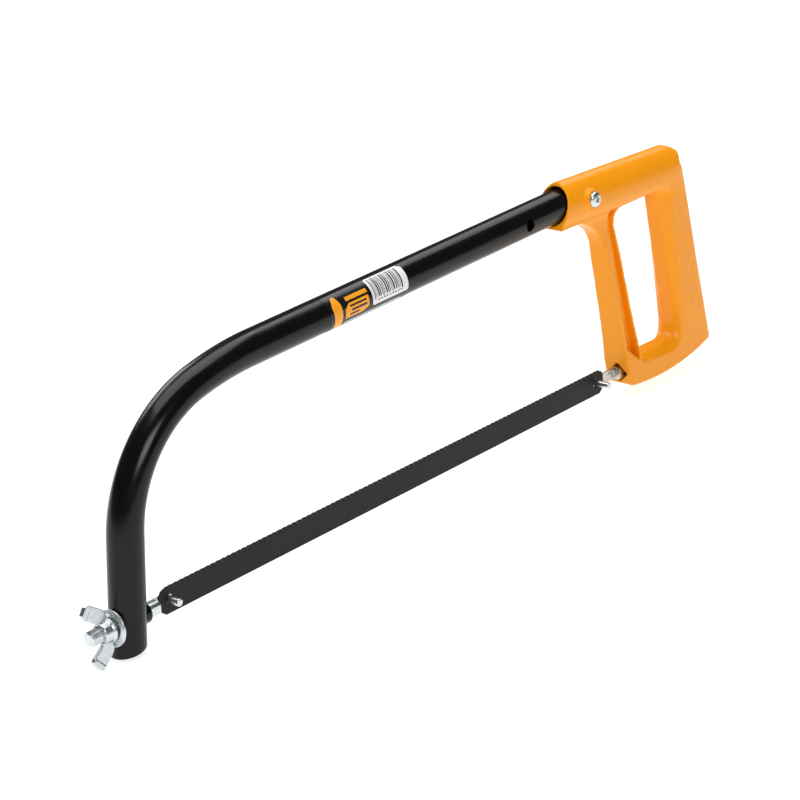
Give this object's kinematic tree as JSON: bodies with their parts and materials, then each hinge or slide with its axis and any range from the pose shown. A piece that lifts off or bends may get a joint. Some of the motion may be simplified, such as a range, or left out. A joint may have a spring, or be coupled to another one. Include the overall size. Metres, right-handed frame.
{
  "type": "hacksaw",
  "caption": "Hand hacksaw: bent round-tube frame with a cast closed handle, a toothed blade held on pins and a wing-nut tensioner, for cutting metal and plastic pipe.",
  "frame": {"origin": "bottom centre of the whole saw's box", "axes": "+X along the blade towards the handle, +Z from the blade up to the frame tube, +Y away from the side that the blade goes on"},
  "size_m": [0.4404, 0.029, 0.1267],
  "materials": {
    "black_enamel": "gloss",
    "orange_enamel": "gloss",
    "zinc_plate": "gloss",
    "blade_enamel": "satin",
    "label_film": "satin"
  },
  "bodies": {
    "frame": {"frame_tube": "black_enamel", "guide_bush": "black_enamel", "tube_label": "label_film", "handle": "orange_enamel", "handle_screw": "zinc_plate", "handle_nut": "zinc_plate", "rear_blade_holder": "zinc_plate", "rear_blade_pin": "zinc_plate", "holder_stud": "zinc_plate", "holder_cross_pin": "zinc_plate", "tension_washer": "zinc_plate"},
    "wing_nut": {"wing_nut": "zinc_plate"},
    "tensioner": {"tension_bolt": "zinc_plate", "front_blade_pin": "zinc_plate"},
    "blade": {"saw_blade": "blade_enamel"}
  },
  "joints": [
    {"name": "wing_nut_turn", "type": "hinge", "parent": "frame", "child": "wing_nut", "pos_m": [-0.21298, -0.00147, 0.01439], "axis": [-1, 0, 0], "range_deg": [0, 288]},
    {"name": "tension_bolt_slide", "type": "slide", "parent": "frame", "child": "tensioner", "axis": [1, 0, 0], "range_m": [0, 0.00081]},
    {"name": "blade_lift_off", "type": "slide", "parent": "frame", "child": "blade", "axis": [0, -1, 0], "range_m": [0, 0.02]}
  ],
  "couplings": [
    {"joint": "tension_bolt_slide", "follows": "wing_nut_turn", "m_per_rad": 0.00015915}
  ]
}
